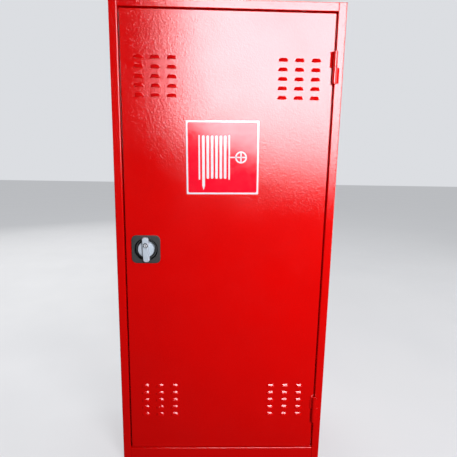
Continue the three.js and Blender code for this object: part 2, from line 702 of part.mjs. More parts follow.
// The claw coupling on the outlet, with a rubber ring in its lower face.
function outletCoupling() {
  const face = VALVE[2] - 92;
  const top = VALVE[2] - 53;
  let coupling = rod("z", 38, face, top, alongOutlet).add(rod("z", 41, face + 8, face + 16, alongOutlet));
  for (const turn of [0, 180]) {
    const claw = new THREE.Shape();
    claw.absarc(0, 0, 47, -0.5, 0.5);
    claw.absarc(0, 0, 37, 0.5, -0.5, true);
    const hook = new THREE.Shape();
    hook.absarc(0, 0, 47, 0.1, 0.5);
    hook.absarc(0, 0, 33, 0.5, 0.1, true);
    const pair = extruded(claw, 22, X, Y, [0, 0, face - 8])
      .add(extruded(hook, 5, X, Y, [0, 0, face - 13]));
    coupling = coupling.add(pair.rotate([0, 0, turn]).translate([VALVE[0], VALVE[1], 0]));
  }
  coupling = coupling
    .subtract(rod("z", 28.3, VALVE[2] - 65, top + 1, alongOutlet))
    .subtract(rod("z", 24, face - 1, top, alongOutlet))
    .subtract(rod("z", 33, face - 1, face + 5, alongOutlet));
  add("outlet_coupling", coupling, aluminium);
  const gasket = rod("z", 32.7, face - 1.5, face + 4.7, alongOutlet)
    .subtract(rod("z", 24.5, face - 2, face + 6, alongOutlet));
  add("coupling_gasket", gasket, rubber);
}

function valveDisc() {
  const sealFace = SEAT_X + 0.3;
  const seal = rod("x", 23.5, fromValve(sealFace), fromValve(sealFace + 3.5), alongInlet);
  add("disc_seal", seal, rubber);
  const start = sealFace + 3.8;
  const disc = turnedX([[0, start], [24, start], [24, start + 7], [12, start + 9], [12, start + 18], [0, start + 18]],
    valveCentre)
    .subtract(rod("x", STEM_R + FINE_CLEARANCE, fromValve(start + 8), fromValve(start + 19), alongInlet));
  add("valve_disc", disc, brass);
  return start + 8.5;
}

function stemAndWheel(stemStart) {
  const hubStart = WHEEL_X - 8;
  const hubEnd = WHEEL_X + 8;
  const tip = hubEnd + 12;
  const stem = turnedX(
    [[0, stemStart], [STEM_R, stemStart], [STEM_R, hubStart - SEAM], [5, hubStart - SEAM], [5, tip - 1],
      [4, tip], [0, tip]],
    valveCentre, 24,
  );
  add("valve_stem", stem, zincSteel);

  let wheel = solidOf(new THREE.TorusGeometry(WHEEL_R, WHEEL_RIM_R, 8, 32).rotateY(Math.PI / 2)
    .translate(fromValve(WHEEL_X), VALVE[1], VALVE[2]))
    .add(rod("x", 13, fromValve(hubStart), fromValve(hubEnd), alongInlet));
  for (let i = 0; i < SPOKES; i++) {
    const spoke = block([-3.5, -5.5, 8], [3.5, 5.5, WHEEL_R - 2]).rotate([(360 / SPOKES) * (i + 0.5), 0, 0]);
    wheel = wheel.add(spoke.translate([fromValve(WHEEL_X), VALVE[1], VALVE[2]]));
  }
  wheel = wheel.subtract(rod("x", 5.2, fromValve(hubStart - 1), fromValve(hubEnd + 1), alongInlet, 24));
  add("handwheel", wheel, wheelRed);

  const nut = hexNut("x", 17, fromValve(hubEnd + SEAM), fromValve(hubEnd + 8), alongInlet)
    .subtract(rod("x", 5.2, fromValve(hubEnd), fromValve(hubEnd + 9), alongInlet, 24));
  add("handwheel_nut", nut, zincSteel);
}

// ---------------------------------------------------------------- assembly

sidePanels();
endPanels();
backPanel();
doorStops();
shelf();
doorPanel();
doorStiffener();
signPlate();
hinge("top", GAP_TOP - HINGE_INSET - HINGE_LENGTH);
hinge("bottom", GAP_BOTTOM + HINGE_INSET);
latch(lockBody());
cradleBackPlate();
cradleTray();
cradleEnds();
cradleFrontBar();
cradleSleeve("cradle_bottom_sleeve", CRADLE_BOTTOM + 2);
cradleSleeve("cradle_top_sleeve", CRADLE_TOP - 2 - SLEEVE_LENGTH);
cradlePivot();
inlet();
valveBody();
valveBonnet();
outletCoupling();
stemAndWheel(valveDisc());

export default group;
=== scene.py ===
"""Standpipe cabinet: looks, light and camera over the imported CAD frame. Lengths are in millimetres until a mesh is
made, in the CAD frame: +Z up, the door faces -Y."""

import json
from math import asin, atan2, copysign, cos, hypot, pi, radians, sin, sqrt, tan

import bmesh
import bpy
from mathutils import Matrix, Vector

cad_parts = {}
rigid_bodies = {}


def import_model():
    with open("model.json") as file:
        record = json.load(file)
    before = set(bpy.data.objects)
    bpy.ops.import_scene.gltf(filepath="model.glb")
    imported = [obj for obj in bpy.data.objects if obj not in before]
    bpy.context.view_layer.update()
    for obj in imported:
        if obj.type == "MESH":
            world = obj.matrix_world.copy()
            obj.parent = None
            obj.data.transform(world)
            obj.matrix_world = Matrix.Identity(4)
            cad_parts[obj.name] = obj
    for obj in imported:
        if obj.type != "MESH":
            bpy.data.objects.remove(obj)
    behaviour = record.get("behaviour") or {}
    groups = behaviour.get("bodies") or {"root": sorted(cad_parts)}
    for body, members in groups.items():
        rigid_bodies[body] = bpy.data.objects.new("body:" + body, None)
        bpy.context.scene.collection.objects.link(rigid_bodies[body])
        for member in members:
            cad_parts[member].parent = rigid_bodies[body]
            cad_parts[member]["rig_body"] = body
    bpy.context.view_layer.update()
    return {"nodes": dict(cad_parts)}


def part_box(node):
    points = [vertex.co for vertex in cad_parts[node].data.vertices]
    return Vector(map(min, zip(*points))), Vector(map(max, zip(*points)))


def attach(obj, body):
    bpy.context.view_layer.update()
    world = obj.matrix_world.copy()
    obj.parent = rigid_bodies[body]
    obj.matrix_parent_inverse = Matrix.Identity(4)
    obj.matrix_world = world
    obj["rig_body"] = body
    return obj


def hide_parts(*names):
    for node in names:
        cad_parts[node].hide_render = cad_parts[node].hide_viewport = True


MM = 0.001
SHEET = 1.2  # thickness of the cabinet's steel
THICK = 1.5  # and of the brackets and the tray
SEAM = 0.3  # air between two pieces that meet
BEND = 1.2  # inside radius of a fold
FOLD_STEPS = 6
ROUND = 72  # segments of a turned piece
SHARP = 32  # degrees: a sharper edge than this is shaded hard
NEARLY_STRAIGHT = pi - 0.02  # a flatter corner than this isn't rounded
CORNER_SHARE = 0.48  # the most of a side that one rounded corner may take
X, Y, Z = Vector((1, 0, 0)), Vector((0, 1, 0)), Vector((0, 0, 1))

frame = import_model()


# -------- places, from the CAD


def box(node):
    """Lowest and highest corner of a CAD node, in millimetres."""
    low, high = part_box(node)
    return Vector(low) / MM, Vector(high) / MM


def middle(node):
    """Centre of a CAD node's box, in millimetres."""
    low, high = box(node)
    return (low + high) / 2


def axis_of(node):
    """Where the axis of a piece that turns about Y crosses the XZ plane."""
    at = middle(node)
    return (at.x, 0, at.z)


# -------- outlines


def rounded(points, radius, closed=True, steps=5):
    """The polyline with its corners rounded. radius is one number, or one for each point."""
    count = len(points)
    radii = radius if isinstance(radius, (list, tuple)) else [radius] * count
    result = []
    for i, point in enumerate(points):
        here = Vector(point)
        if radii[i] <= 0 or (not closed and i in (0, count - 1)):
            result.append(here)
            continue
        back = Vector(points[i - 1]) - here
        ahead = Vector(points[(i + 1) % count]) - here
        turn = back.angle(ahead)
        if turn > NEARLY_STRAIGHT:
            result.append(here)
            continue
        reach = min(radii[i] / tan(turn / 2), CORNER_SHARE * back.length, CORNER_SHARE * ahead.length)
        start, end = here + back.normalized() * reach, here + ahead.normalized() * reach
        for k in range(steps + 1):
            t = k / steps
            result.append(start * (1 - t) ** 2 + here * 2 * t * (1 - t) + end * t * t)
    return result


def rectangle(width, height, radius, centre=(0, 0), steps=8):
    """A rectangle with rounded corners."""
    w, h = width / 2, height / 2
    corners = [(-w, -h), (w, -h), (w, h), (-w, h)]
    return [p + Vector(centre) for p in rounded([Vector(c) for c in corners], radius, steps=steps)]


def arc(centre, radius, start, end, steps=16):
    """Points on an arc from one angle to another, both ends included."""
    return [
        Vector(centre) + radius * Vector((cos(a), sin(a)))
        for a in (start + (end - start) * k / steps for k in range(steps + 1))
    ]


def circle(centre, radius, steps=48):
    """A closed circle, so its first point isn't repeated."""
    return arc(centre, radius, 0, 2 * pi, steps)[:-1]


def stadium(a, b, radius):
    """A slot with round ends centred on a and b."""
    a, b = Vector(a), Vector(b)
    along = atan2(b.y - a.y, b.x - a.x)
    return arc(b, radius, along - pi / 2, along + pi / 2, 10) + arc(
        a, radius, along + pi / 2, along + 1.5 * pi, 10
    )


def folded(path, thickness=SHEET, bend=BEND):
    """Closed section of a sheet folded along its outer face, with the material to the right of the path."""
    outer, inner = [], []
    points = [Vector(p) for p in path]
    for i, here in enumerate(points):
        before = (here - points[i - 1]).normalized() if i else None
        after = (points[i + 1] - here).normalized() if i < len(points) - 1 else None
        if before is None or after is None:
            along = after or before
            right = Vector((along.y, -along.x))
            outer.append(here)
            inner.append(here + right * thickness)
            continue
        left_turn = before.cross(after) > 0
        radius = bend if left_turn else bend + thickness
        sign = 1 if left_turn else -1
        inward = sign * Vector((-before.y, before.x))
        turn = before.angle(after)
        centre = here - before * radius * tan(turn / 2) + inward * radius
        start = atan2(-inward.y, -inward.x)
        for k in range(FOLD_STEPS + 1):
            a = start + sign * turn * k / FOLD_STEPS
            ray = Vector((cos(a), sin(a)))
            outer.append(centre + ray * radius)
            inner.append(centre + ray * (radius + sign * thickness))
    return outer + inner[::-1]


# -------- meshes


def link(name, data):
    """A new object in the scene."""
    obj = bpy.data.objects.new(name, data)
    bpy.context.scene.collection.objects.link(obj)
    return obj


def smooth(obj, angle=SHARP):
    """Shades the object smooth, apart from edges sharper than angle."""
    obj.data.polygons.foreach_set("use_smooth", [True] * len(obj.data.polygons))
    obj.data.set_sharp_from_angle(angle=radians(angle))
    return obj


def even(obj):
    """Keeps flat faces flat where they run into a rounded edge."""
    weighted = obj.modifiers.new("even", "WEIGHTED_NORMAL")
    weighted.keep_sharp = True
    weighted.weight = 80


def clean(mesh, merge=0.0):
    """Merges points closer than merge (in metres) and turns the faces outwards."""
    work = bmesh.new()
    work.from_mesh(mesh)
    if merge:
        bmesh.ops.remove_doubles(work, verts=work.verts, dist=merge)
    bmesh.ops.recalc_face_normals(work, faces=work.faces)
    work.to_mesh(mesh)
    work.free()


def band(a, b):
    """Faces between two rings of as many point indices."""
    return [[a[k - 1], a[k], b[k], b[k - 1]] for k in [*range(1, len(a)), 0]]


def from_lists(name, points, faces, angle=SHARP):
    """A mesh from points in millimetres and faces of point indices."""
    mesh = bpy.data.meshes.new(name)
    mesh.from_pydata([tuple(Vector(p) * MM) for p in points], [], faces)
    clean(mesh)
    return smooth(link(name, mesh), angle)


def applied(obj):
    """The object with its modifiers, or a curve's outline, turned into a mesh."""
    bpy.context.view_layer.update()
    mesh = bpy.data.meshes.new_from_object(obj.evaluated_get(bpy.context.evaluated_depsgraph_get()))
    name, matrix = obj.name, obj.matrix_world.copy()
    old = obj.data
    bpy.data.objects.remove(obj)
    if isinstance(old, bpy.types.Curve):
        bpy.data.curves.remove(old)
    mesh.transform(matrix)
    return link(name, mesh)


def plate(name, outlines, depth, u, v, at, edge=0.25):
    """Outlines drawn on u and v (the first is outside, the rest are holes), extruded by depth along u x v from at."""
    edge = min(edge, depth * 0.45)
    curve = bpy.data.curves.new(name, "CURVE")
    curve.dimensions = "2D"
    curve.fill_mode = "BOTH"
    curve.extrude = (depth / 2 - edge) * MM
    curve.bevel_depth = edge * MM
    curve.bevel_resolution = 1
    curve.offset = -edge * MM
    for outline in outlines:
        spline = curve.splines.new("POLY")
        spline.points.add(len(outline) - 1)
        for point, place in zip(spline.points, outline):
            point.co = (place[0] * MM, place[1] * MM, 0, 1)
        spline.use_cyclic_u = True
    obj = link(name, curve)
    w = u.cross(v)
    centre = (Vector(at) + w * depth / 2) * MM
    obj.matrix_world = Matrix.Translation(centre) @ Matrix((u, v, w)).transposed().to_4x4()
    obj = applied(obj)
    clean(obj.data, 1e-6)
    return smooth(obj)


def turned(name, profile, axis, centre, segments=ROUND, soft=0.4, angle=SHARP):
    """A profile of (radius, place) pairs turned about an axis. It closes on itself unless it ends on the axis."""
    on_axis = profile[0][0] == 0 and profile[-1][0] == 0
    line = rounded(profile, soft, closed=not on_axis, steps=3)
    points, rings = [], []
    for radius, along in line:
        count = 1 if radius < 1e-6 else segments
        rings.append(range(len(points), len(points) + count))
        for k in range(count):
            a = 2 * pi * k / segments
            p, q = radius * cos(a), radius * sin(a)
            place = {"x": (along, p, q), "y": (p, along, q), "z": (p, q, along)}[axis]
            points.append(Vector(place) + Vector(centre))
    faces = []
    for i in range(len(rings) if not on_axis else len(rings) - 1):
        a, b = rings[i], rings[(i + 1) % len(rings)]
        for k in range(segments):
            j = (k + 1) % segments
            face = [a[k % len(a)], a[j % len(a)], b[j % len(b)], b[k % len(b)]]
            face = list(dict.fromkeys(face))
            if len(face) > 2:
                faces.append(face)
    return from_lists(name, points, faces, angle)


def cylinder(radius, start, end, axis, centre, segments=ROUND):
    """A plain cylinder, mostly a tool for cutting."""
    return turned("tool", [(0, start), (radius, start), (radius, end), (0, end)], axis, centre, segments, 0)


def tube(name, points, radius):
    """A round bar along a polyline."""
    curve = bpy.data.curves.new(name, "CURVE")
    curve.dimensions = "3D"
    curve.bevel_depth = radius * MM
    curve.bevel_resolution = 6
    curve.use_fill_caps = True
    spline = curve.splines.new("POLY")
    spline.points.add(len(points) - 1)
    for point, place in zip(spline.points, points):
        point.co = (*(Vector(place) * MM), 1)
    return smooth(applied(link(name, curve)), 40)


def combine(obj, tool, operation="DIFFERENCE", angle=SHARP):
    """A boolean of two meshes, which uses up the tool."""
    modifier = obj.modifiers.new("cut", "BOOLEAN")
    modifier.operation = operation
    modifier.solver = "EXACT"
    modifier.object = tool
    result = applied(obj)
    bpy.data.objects.remove(tool)
    return smooth(result, angle)


def joined(name, *objects):
    """Several objects put into one mesh, which uses them up."""
    work = bmesh.new()
    for obj in objects:
        work.from_mesh(obj.data)
        bpy.data.objects.remove(obj)
    mesh = bpy.data.meshes.new(name)
    work.to_mesh(mesh)
    work.free()
    return link(name, mesh)


def cast(obj, voxel, passes):
    """Overlapping solids melted into one casting with soft inside corners."""
    remesh = obj.modifiers.new("remesh", "REMESH")
    remesh.mode = "VOXEL"
    remesh.voxel_size = voxel * MM
    relax = obj.modifiers.new("relax", "SMOOTH")
    relax.iterations = passes
    relax.factor = 0.6
    return smooth(applied(obj), 60)


def hexagon(name, flats, start, end, axis, centre, bore=0.0):
    """A hex nut with its corners turned down at both ends, and a bore if it has one."""
    corner = flats / sqrt(3)
    outline = circle((0, 0), corner, 6)
    u, v = {"x": (Y, Z), "y": (Z, X), "z": (X, Y)}[axis]
    at = Vector(centre) + u.cross(v) * start
    nut = plate(name, [rounded(outline, 0.6, steps=3)], end - start, u, v, at, 0.2)
    slope = (corner - flats / 2) * 0.6
    crown = [(0, start), (flats / 2 - 0.2, start), (corner, start + slope), (corner, end - slope),
             (flats / 2 - 0.2, end), (0, end)]
    nut = combine(nut, turned("tool", crown, axis, centre, 48, 0), "INTERSECT")
    if bore:
        nut = combine(nut, cylinder(bore, start - 5, end + 5, axis, centre, 48))
    return nut


# -------- materials


def fill(node, **values):
    """Sets a node's inputs."""
    for key, value in values.items():
        node.inputs[key.replace("_", " ")].default_value = value


class Shade:
    """A procedural material built on object coordinates, which are metres in the CAD frame."""

    def __init__(self, name, color, roughness, metallic=0.0):
        self.material = bpy.data.materials.new(name)
        self.material.use_nodes = True
        self.tree = self.material.node_tree
        self.shader = self.tree.nodes["Principled BSDF"]
        self.place = self.node("TexCoord").outputs["Object"]
        self.color = (*color, 1)
        fill(self.shader, Base_Color=self.color, Roughness=roughness, Metallic=metallic)
        self.roughness = roughness
        self.normal = None

    def node(self, kind, **values):
        node = self.tree.nodes.new("ShaderNode" + kind)
        for key, value in values.items():
            setattr(node, key, value)
        return node

    def wire(self, source, target):
        self.tree.links.new(source, target)

    def noise(self, scale, detail, stretch=None):
        node = self.node("TexNoise")
        fill(node, Scale=scale, Detail=detail)
        place = self.place
        if stretch:
            mapping = self.node("Mapping")
            fill(mapping, Scale=stretch)
            self.wire(place, mapping.inputs["Vector"])
            place = mapping.outputs["Vector"]
        self.wire(place, node.inputs["Vector"])
        return node.outputs["Fac"]

    def spread(self, source, low, high, near=0.3, far=0.7):
        """Maps source from near..far to low..high."""
        node = self.node("MapRange")
        fill(node, From_Min=near, From_Max=far, To_Min=low, To_Max=high)
        self.wire(source, node.inputs["Value"])
        return node.outputs["Result"]

    def tint(self, source, other, amount):
        """Varies the base colour towards other where source is high."""
        mix = self.node("Mix", data_type="RGBA")
        self.wire(self.spread(source, 0, amount), mix.inputs["Factor"])
        base = self.shader.inputs["Base Color"]
        if base.links:
            self.wire(base.links[0].from_socket, mix.inputs["A"])
        else:
            mix.inputs["A"].default_value = self.color
        mix.inputs["B"].default_value = (*other, 1)
        self.wire(mix.outputs["Result"], base)

    def vary(self, source, swing):
        """Lets the roughness swing with source."""
        uneven = self.spread(source, self.roughness - swing, self.roughness + swing)
        self.wire(uneven, self.shader.inputs["Roughness"])
        return self

    def bump(self, source, height):
        """Adds relief of so many millimetres to what is there already."""
        node = self.node("Bump")
        fill(node, Strength=1.0, Distance=height * MM)
        self.wire(source, node.inputs["Height"])
        if self.normal:
            self.wire(self.normal, node.inputs["Normal"])
        self.normal = node.outputs["Normal"]
        self.wire(self.normal, self.shader.inputs["Normal"])

    def set(self, **values):
        fill(self.shader, **values)


def powder_coat(name, color, roughness, peel):
    """Glossy coat with orange peel of so many millimetres."""
    shade = Shade(name, color, roughness)
    shade.set(Specular_IOR_Level=1.0)
    shade.bump(shade.noise(300, 2), peel)
    dark = [c * 0.72 for c in color]
    shade.tint(shade.noise(9, 4), dark, 0.18)
    shade.tint(shade.noise(420, 1), dark, 0.22)
    return shade.vary(shade.noise(14, 3), 0.03)


def zinc(name):
    shade = Shade(name, (0.6, 0.61, 0.62), 0.3, 1.0)
    shade.bump(shade.noise(900, 2, (1, 1, 0.06)), 0.02)
    shade.tint(shade.noise(35, 5), (0.42, 0.43, 0.46), 0.6)
    return shade.vary(shade.noise(120, 4), 0.1)


def casting(name, color, roughness, grain):
    shade = Shade(name, color, roughness, 1.0)
    shade.bump(shade.noise(700, 4), grain)
    shade.tint(shade.noise(60, 5), [c * 0.5 for c in color], 0.55)
    return shade.vary(shade.noise(180, 4), 0.12)


def moulded(name, color, roughness, grain):
    shade = Shade(name, color, roughness)
    shade.bump(shade.noise(1600, 2), grain)
    shade.tint(shade.noise(70, 3), [c * 0.75 for c in color], 0.3)
    return shade.vary(shade.noise(90, 3), 0.05)


RED = (0.62, 0.0006, 0.0002)
red = powder_coat("red_powder_coat", RED, 0.12, 0.33)
enamel = powder_coat("handwheel_enamel", (0.45, 0.01, 0.006), 0.22, 0.08)
steel = zinc("zinc_steel")
brass = casting("cast_brass", (0.6, 0.41, 0.15), 0.38, 0.09)
aluminium = casting("cast_aluminium", (0.66, 0.67, 0.69), 0.35, 0.04)
rubber = moulded("black_rubber", (0.018, 0.018, 0.018), 0.7, 0.02)
black = moulded("black_plastic", (0.035, 0.038, 0.038), 0.42, 0.015)
# Painted shade: the plastic is made near black and dull where it lies in a recess, standing in for the shade that falls
# there.
painted_shade = moulded("lock_recess_painted_shade", (0.004, 0.004, 0.006), 0.6, 0.01)
painted_shade.set(Specular_IOR_Level=0.12)
grey = moulded("grey_plastic", (0.44, 0.51, 0.58), 0.34, 0.008)
plug_face = moulded("key_plug", (0.55, 0.58, 0.62), 0.35, 0.01)
film = moulded("sign_film", (0.8, 0.003, 0.022), 0.13, 0.006)
white = moulded("sign_white", (0.74, 0.7, 0.74), 0.13, 0.006)
for shade in (film, white):
    shade.set(Specular_IOR_Level=1.0)
    # The sticker doesn't lie quite flat: it faces a little down and to the left.
    lean = shade.node("VectorMath", operation="DOT_PRODUCT")
    shade.wire(shade.place, lean.inputs[0])
    lean.inputs[1].default_value = (0.5, 0, 1)
    shade.bump(lean.outputs["Value"], 13)
BODY = {node: obj["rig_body"] for node, obj in frame["nodes"].items()}


def use(obj, node, shade):
    """The piece stands for a CAD node: it rides on the node's body and takes shade's material if it has none yet."""
    obj.name = node + "_look"
    obj.data.name = obj.name
    if not obj.data.materials:
        obj.data.materials.append(shade.material)
    even(obj)
    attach(obj, BODY[node])
    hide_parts(node)


def use_two(obj, node, shade, other, is_other):
    """use() with a second shade on the faces whose centre, in millimetres, is_other picks."""
    for each in (shade, other):
        obj.data.materials.append(each.material)
    for face in obj.data.polygons:
        face.material_index = int(is_other(face.center / MM))
    use(obj, node, shade)


def keep(node, shade, edge):
    """A CAD node whose shape is right keeps it, with a fine edge and the better material."""
    obj = frame["nodes"][node]
    obj.data.materials.clear()
    obj.data.materials.append(shade.material)
    bevel = obj.modifiers.new("edge", "BEVEL")
    bevel.width = edge * MM
    bevel.segments = 2
    bevel.limit_method = "ANGLE"
    bevel.angle_limit = radians(40)
    even(obj)


# -------- cabinet body

SIDE, BACK, HEIGHT = box("back_panel")[1]
panel_low, panel_high = box("left_side_panel")
FRONT, WRAP_BACK = panel_low.y, panel_high.y
OPENING = -panel_high.x  # half the width of the door's opening
REBATE = box("left_door_stop")[0].y - SEAM  # how far back the stiles and rails are folded
BORE = middle("inlet_nipple")  # on the axis of the pipe and the valve
VALVE = Vector((middle("coupling_gasket").x, BORE.y, BORE.z))
PORT = 32.0  # radius of the pipe port and of the knock-outs
KNOCKOUT_SLOT = 1.2
KNOCKOUT_ARC = radians(108)  # each of three slots; the steel left between them holds the blank
END_BEND = 0.6  # the rails are folded more tightly than the stiles
WALL_HOLE, WALL_HOLE_X, WALL_HOLE_IN = 5, 200, 100  # radius, to each side, and in from the top and the base
CLEAR = 2  # how far a cutting tool stands out of what it cuts


def knockout(obj, u, v, at):
    """Cuts the three slots round a blank, centred on at."""
    for k in range(3):
        start = radians(120 * k + 186)
        end = start + KNOCKOUT_ARC
        slot = arc((0, 0), PORT, start, end, 24) + arc((0, 0), PORT - KNOCKOUT_SLOT, end, start, 24)
        obj = combine(obj, plate("tool", [slot], 12, u, v, Vector(at) - u.cross(v) * 6, 0.01))
    return obj


def side_panel(node, hand):
    """A side with its stile: the left one (hand -1) has the pipe's port and the right one a knock-out."""
    low, high = box(node)
    path = [(SIDE, WRAP_BACK), (SIDE, FRONT), (OPENING, FRONT), (OPENING, REBATE)]
    if hand < 0:
        path = [(-x, y) for x, y in reversed(path)]
    obj = plate(node, [folded(path)], high.z - low.z, X, Y, (0, 0, low.z))
    if hand < 0:
        return combine(obj, cylinder(PORT, -SIDE - 5, -SIDE + 5, "x", (0, BORE.y, BORE.z)))
    return knockout(obj, Y, Z, (SIDE, BORE.y, BORE.z))


def end_panel(level, rail, inward):
    """The top or bottom at level with its rail, cut away where the sides and the stiles pass."""
    path = [(WRAP_BACK, level), (FRONT, level), (FRONT, rail), (REBATE, rail)]
    if inward < 0:
        path = path[::-1]
    obj = plate("end", [folded(path, bend=END_BEND)], 2 * SIDE, Y, Z, (-SIDE, 0, 0))
    z0, z1 = sorted((level + inward * (SHEET + 0.01), rail + inward * CLEAR))
    y0, y1 = FRONT - CLEAR, REBATE + CLEAR
    for hand in (-1, 1):
        x0, x1 = sorted((hand * (OPENING - SEAM), hand * (SIDE + CLEAR)))
        tool = plate("tool", [[(x0, y0), (x1, y0), (x1, y1), (x0, y1)]], z1 - z0, X, Y, (0, 0, z0), 0.001)
        obj = combine(obj, tool)
    return obj


def cabinet_body():
    for hand, node in ((-1, "left_side_panel"), (1, "right_side_panel")):
        use(side_panel(node, hand), node, red)
    top = end_panel(HEIGHT, box("top_panel")[0].z, -1)
    top = knockout(top, X, Y, (VALVE.x, VALVE.y, HEIGHT))
    use(top, "top_panel", red)
    use(end_panel(0, box("bottom_panel")[1].z, 1), "bottom_panel", red)
    places = [(x, z) for x in (-WALL_HOLE_X, WALL_HOLE_X) for z in (WALL_HOLE_IN, HEIGHT - WALL_HOLE_IN)]
    holes = [circle(place, WALL_HOLE, 24) for place in places]
    outline = rectangle(2 * SIDE, HEIGHT, 0.6, (0, HEIGHT / 2), 2)
    use(plate("back", [outline, *holes], SHEET, X, Z, (0, BACK, 0)), "back_panel", red)
    for side in ("left", "right", "top", "bottom"):
        keep(side + "_door_stop", red, 0.25)


def shelf():
    low, high = box("shelf")
    section = folded([(low.y, low.z), (low.y, high.z), (high.y, high.z)])
    use(plate("shelf", [section], high.x - low.x, Y, Z, (low.x, 0, 0)), "shelf", red)
    for side in ("left", "right"):
        low, high = box(side + "_shelf_bracket")
        path = [(low.x, high.z), (high.x, high.z), (high.x, low.z)]
        if side == "left":
            path = [(low.x, low.z), (low.x, high.z), (high.x, high.z)]
        obj = plate("bracket", [folded(path, THICK)], high.y - low.y, -X, Z, (0, low.y, 0))
        obj.data.transform(Matrix.Diagonal((-1, 1, 1, 1)))  # it was drawn mirrored, on -X
        obj.data.flip_normals()
        use(obj, side + "_shelf_bracket", red)


# -------- door

HOOD_HALF, HOOD_HIGH, HOOD_OUT = 11.0, 8.0, 3.6  # a louvre's half width, height and how far it stands out
COLUMN_STEP, ROW_STEP, COLUMN_IN, ROW_IN = 38.3, 21.0, 40.7, 101.5  # between louvres, and in from the door's edges
# Where the door's grid has lines: to each side of a louvre's middle, and up from its cut edge. Closer where it bends.
LOUVRE_X = (0, 2.5, 5, 7, 8.4, 9.4, 10, 10.4, 10.7, 10.9, 11, 12.5, 15)
LOUVRE_Z = (-3, -1, 0, 0.5, 1.2, 2, 2.8, 3.6, 4.4, 5.2, 6, 6.6, 7.1, 7.5, 7.8, 8, 9.5, 12)
FLANGE = 12  # width of the door's fold behind, at its four edges
LOCK_HOLE = 30.8  # radius


def louvre_rise(x, z):
    """How far the pressed hood stands out at a place measured from the middle of its cut edge."""
    if z < 0 or z > HOOD_HIGH or abs(x) > HOOD_HALF:
        return 0.0
    up_it = z / HOOD_HIGH
    fall = (abs(x) / HOOD_HALF) ** 4 + 0.6 * up_it + 0.4 * up_it**2
    return HOOD_OUT * max(0.0, 1 - fall) ** 0.85


def door_face(low, high, front, bend):
    """Points and faces of the door's flat front with its louvres, and the indices round its rim."""
    columns = [side * (high.x - COLUMN_IN - k * COLUMN_STEP) for side in (-1, 1) for k in range(3)]
    rows = [low.z + ROW_IN + k * ROW_STEP for k in range(5)]
    rows += [high.z - ROW_IN - k * ROW_STEP for k in range(5)]
    half_height = HOOD_HIGH / 2
    feet = [z - half_height for z in rows]
    cuts = {round(z, 3) for z in feet}
    lines_x = {round(x + sign * d, 3) for x in columns for d in LOUVRE_X for sign in (-1, 1)}
    lines_z = {round(z + d, 3) for z in feet for d in LOUVRE_Z}
    lines_x.update([-high.x + bend, 0, high.x - bend])
    lines_z.update([low.z + bend, (low.z + high.z) / 2, high.z - bend])
    # A cut has two lines of points at one height: the sheet below it and the lip of the hood above it.
    xs, zs = sorted(lines_x), []
    for z in sorted(lines_z):
        zs.append((z, "below" if z in cuts else "plain"))
        if z in cuts:
            zs.append((z, "above"))

    def rise(x, z, kind):
        if kind == "below":
            return 0.0
        near_x = min(columns, key=lambda c: abs(c - x))
        near_z = min(feet, key=lambda f: abs(f + half_height - z))
        return louvre_rise(x - near_x, z - near_z)

    points = [Vector((x, front - rise(x, z, kind), z)) for z, kind in zs for x in xs]
    wide, tall = len(xs), len(zs)
    faces = []
    for j in range(tall - 1):
        if zs[j + 1][1] == "above":
            continue
        for i in range(wide - 1):
            a = j * wide + i
            faces.append([a, a + 1, a + wide + 1, a + wide])
    rim = [j * wide for j in range(tall - 1, 0, -1)] + list(range(wide - 1))
    rim += [j * wide + wide - 1 for j in range(tall - 1)]
    rim += [(tall - 1) * wide + i for i in range(wide - 1, 0, -1)]
    return points, faces, rim


def door_panel():
    low, high = box("door_panel")
    front, back, bend = FRONT, high.y, BEND + SHEET
    points, faces, rim = door_face(low, high, front, bend)
    # The edges are folded back and then in. Each ring is the rim moved out by out and back to depth.
    section = rounded(
        [(-bend, front), (0, front), (0, back), (-FLANGE, back)], [0, bend, bend, 0], closed=False, steps=6
    )[1:]
    middle_z = (low.z + high.z) / 2
    half_x, half_z = high.x - bend, (high.z - low.z) / 2 - bend

    def moved(value, half, grow):
        at_edge = abs(abs(value) - half) < 0.01
        return copysign(half + grow, value) if at_edge else value * (half + grow) / half

    previous = rim
    for out, depth in section:
        ring = list(range(len(points), len(points) + len(rim)))
        for index in rim:
            x, z = points[index].x, points[index].z - middle_z
            points.append(Vector((moved(x, half_x, bend + out), depth, moved(z, half_z, bend + out) + middle_z)))
        faces += band(previous, ring)
        previous = ring
    obj = from_lists("door", points, faces)
    clean(obj.data, 2e-6)
    on_front = Vector((0, front, middle_z)) * MM
    if min(obj.data.polygons, key=lambda f: (f.center - on_front).length).normal.y > 0:
        obj.data.flip_normals()
    skin = obj.modifiers.new("sheet", "SOLIDIFY")
    skin.thickness = SHEET * MM
    skin.offset = -1
    obj = smooth(applied(obj), 38)
    nut = middle("lock_retaining_nut")
    return combine(obj, cylinder(LOCK_HOLE, front - 5, front + 8, "y", (nut.x, 0, nut.z)), angle=38)


SIGN_SKEW = radians(0.7)  # the sticker went on slightly turned
RED_LOWER = 0.12  # the red film's front is this far behind the sticker's, and the white lies on it
WHITE_FILM = 0.118


